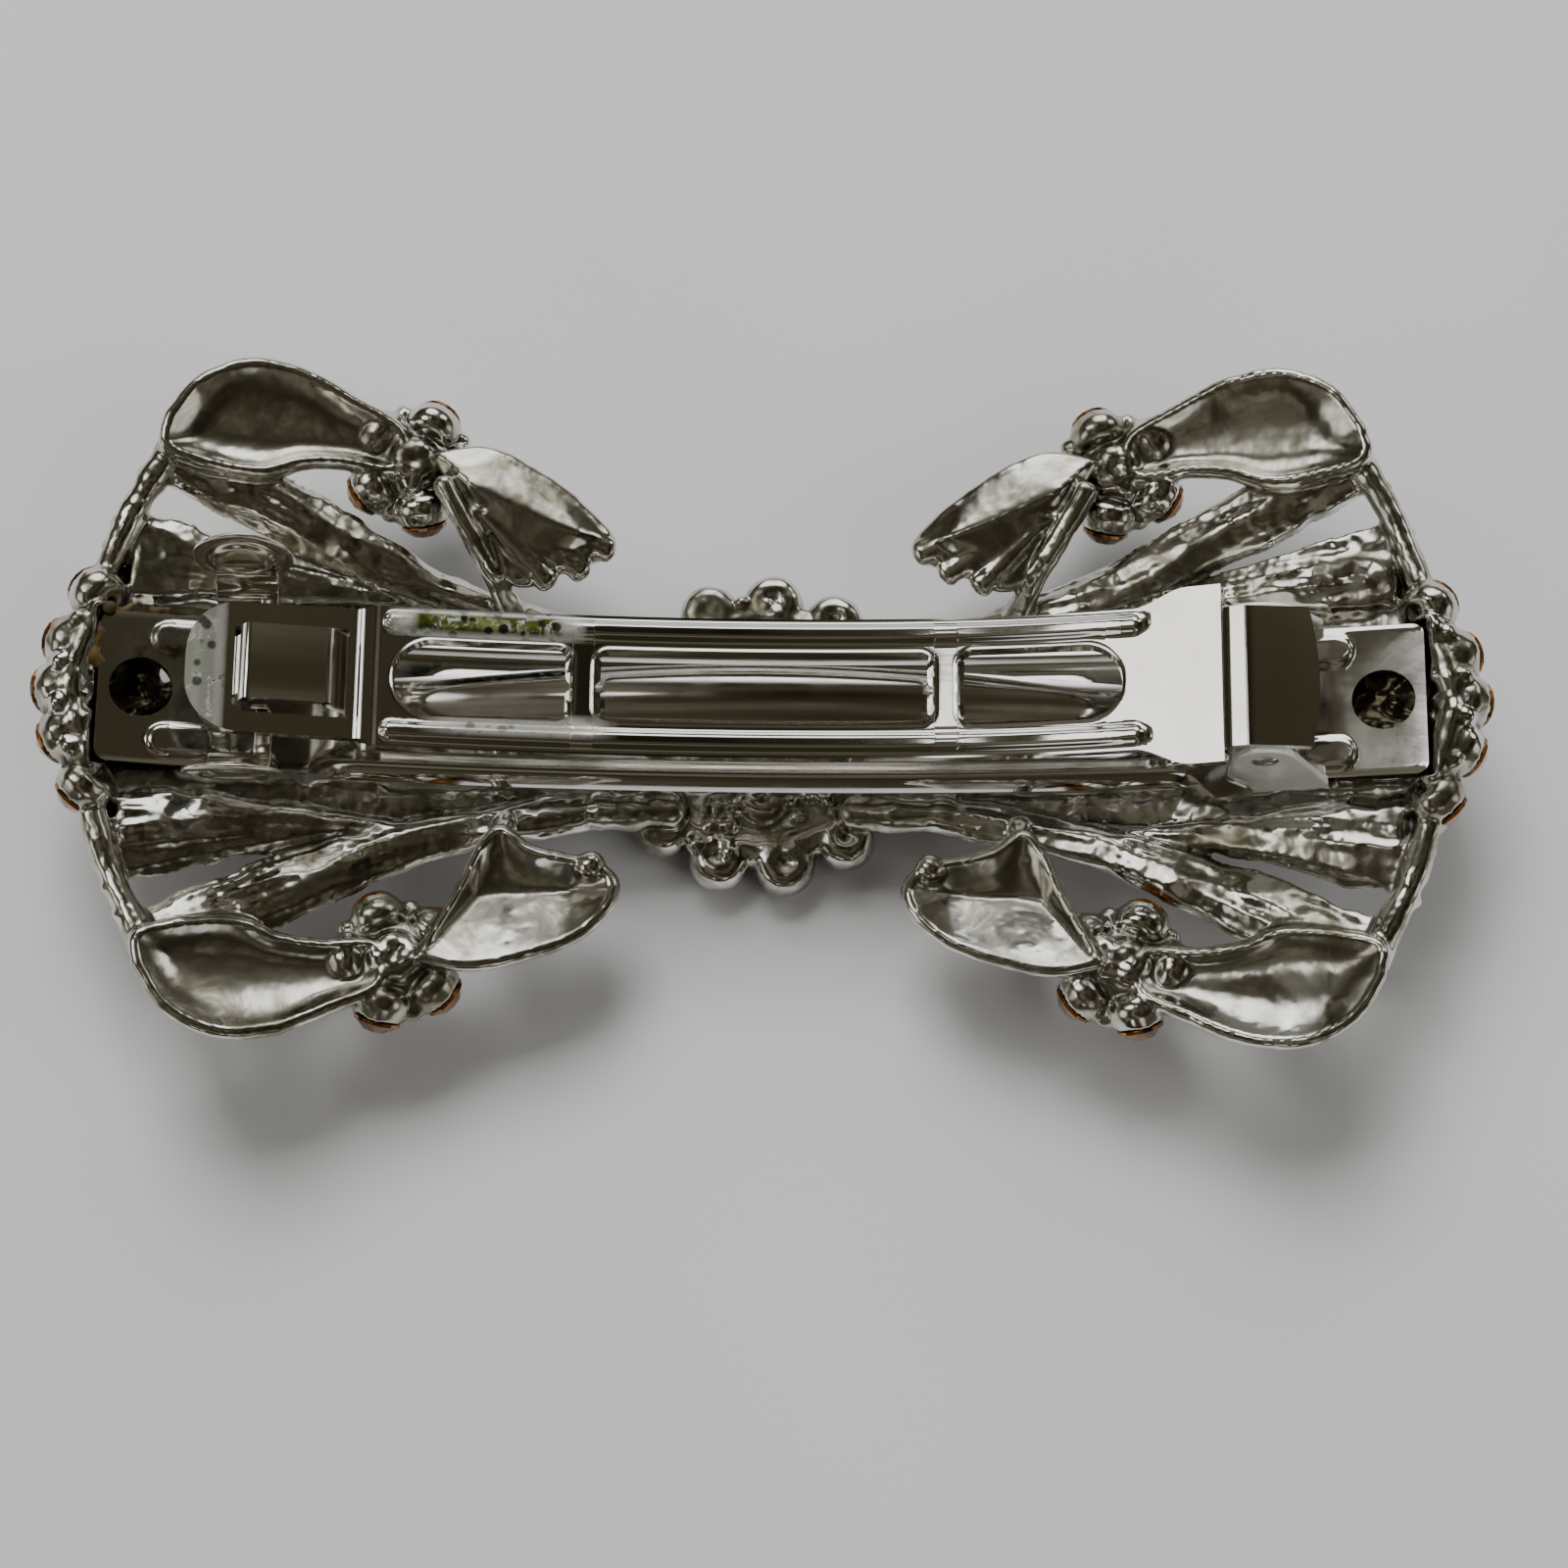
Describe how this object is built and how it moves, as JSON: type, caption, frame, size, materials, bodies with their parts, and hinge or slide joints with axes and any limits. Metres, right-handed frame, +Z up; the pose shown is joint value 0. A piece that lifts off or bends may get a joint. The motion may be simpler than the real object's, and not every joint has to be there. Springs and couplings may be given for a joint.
{
  "type": "hair barrette",
  "caption": "Bow-shaped cast metal hair barrette set with faceted stones, with a sprung steel clip: base plate, hinged arm, tension bar and two pinch prongs.",
  "frame": {"origin": "middle of the flat front that the barrette lies on, under the centre stone", "axes": "+X along the clip towards its hinge, +Y across the clip, +Z up from the jewelled front to the clasp"},
  "size_m": [0.0888, 0.042, 0.0196],
  "materials": {
    "cast_plate": "bright plated rough casting with dark recesses",
    "strip_plate": "bright plated stamped strip",
    "spring_leaf": "bright spring strip",
    "amber_stone": "faceted, foil backed",
    "clear_stone": "faceted, foil backed"
  },
  "bodies": {
    "bow": {"base_plate": "strip_plate", "cast_bow": "cast_plate", "centre_stone": "clear_stone", "hinge_pin": "strip_plate", "inner_ring_stone_01": "clear_stone", "inner_ring_stone_02": "clear_stone", "inner_ring_stone_03": "clear_stone", "inner_ring_stone_04": "clear_stone", "inner_ring_stone_05": "clear_stone", "inner_ring_stone_06": "clear_stone", "left_fan_stone_1": "amber_stone", "left_fan_stone_2": "amber_stone", "left_fan_stone_3": "amber_stone", "left_fan_stone_4": "amber_stone", "left_fan_stone_5": "amber_stone", "lower_left_petal_stone_1": "amber_stone", "lower_left_petal_stone_2": "amber_stone", "lower_left_petal_stone_3": "amber_stone", "lower_left_petal_stone_4": "amber_stone", "lower_left_petal_stone_5": "amber_stone", "lower_right_petal_stone_1": "amber_stone", "lower_right_petal_stone_2": "amber_stone", "lower_right_petal_stone_3": "amber_stone", "lower_right_petal_stone_4": "amber_stone", "lower_right_petal_stone_5": "amber_stone", "outer_ring_stone_01": "clear_stone", "outer_ring_stone_02": "clear_stone", "outer_ring_stone_03": "clear_stone", "outer_ring_stone_04": "clear_stone", "outer_ring_stone_05": "clear_stone", "outer_ring_stone_06": "clear_stone", "outer_ring_stone_07": "clear_stone", "outer_ring_stone_08": "clear_stone", "outer_ring_stone_09": "clear_stone", "outer_ring_stone_10": "clear_stone", "outer_ring_stone_11": "clear_stone", "outer_ring_stone_12": "clear_stone", "outer_ring_stone_13": "clear_stone", "right_fan_stone_1": "amber_stone", "right_fan_stone_2": "amber_stone", "right_fan_stone_3": "amber_stone", "right_fan_stone_4": "amber_stone", "right_fan_stone_5": "amber_stone", "upper_left_petal_stone_1": "amber_stone", "upper_left_petal_stone_2": "amber_stone", "upper_left_petal_stone_3": "amber_stone", "upper_left_petal_stone_4": "amber_stone", "upper_left_petal_stone_5": "amber_stone", "upper_right_petal_stone_1": "amber_stone", "upper_right_petal_stone_2": "amber_stone", "upper_right_petal_stone_3": "amber_stone", "upper_right_petal_stone_4": "amber_stone", "upper_right_petal_stone_5": "amber_stone"},
    "arm": {"clip_arm": "strip_plate"},
    "leaf": {"tension_bar": "spring_leaf"},
    "upper_prong": {"upper_catch_prong": "strip_plate"},
    "lower_prong": {"lower_catch_prong": "strip_plate"}
  },
  "joints": [
    {"name": "arm_hinge", "type": "hinge", "parent": "bow", "child": "arm", "pos_m": [0.0298, 0, 0.0145], "axis": [0, 1, 0], "range_deg": [0, 95]},
    {"name": "upper_prong_pinch", "type": "hinge", "parent": "bow", "child": "upper_prong", "pos_m": [-0.0309, 0.00475, 0.0103], "axis": [1, 0, 0], "range_deg": [0, 4], "stiffness_Nm_per_rad": 0.05},
    {"name": "lower_prong_pinch", "type": "hinge", "parent": "bow", "child": "lower_prong", "pos_m": [-0.0309, -0.00475, 0.0103], "axis": [-1, 0, 0], "range_deg": [0, 4], "stiffness_Nm_per_rad": 0.05},
    {"name": "leaf_press", "type": "slide", "parent": "bow", "child": "leaf", "axis": [0, 0, -1], "range_m": [0, 0.0015], "stiffness_N_per_m": 1500, "deforming": ["tension_bar"]}
  ]
}
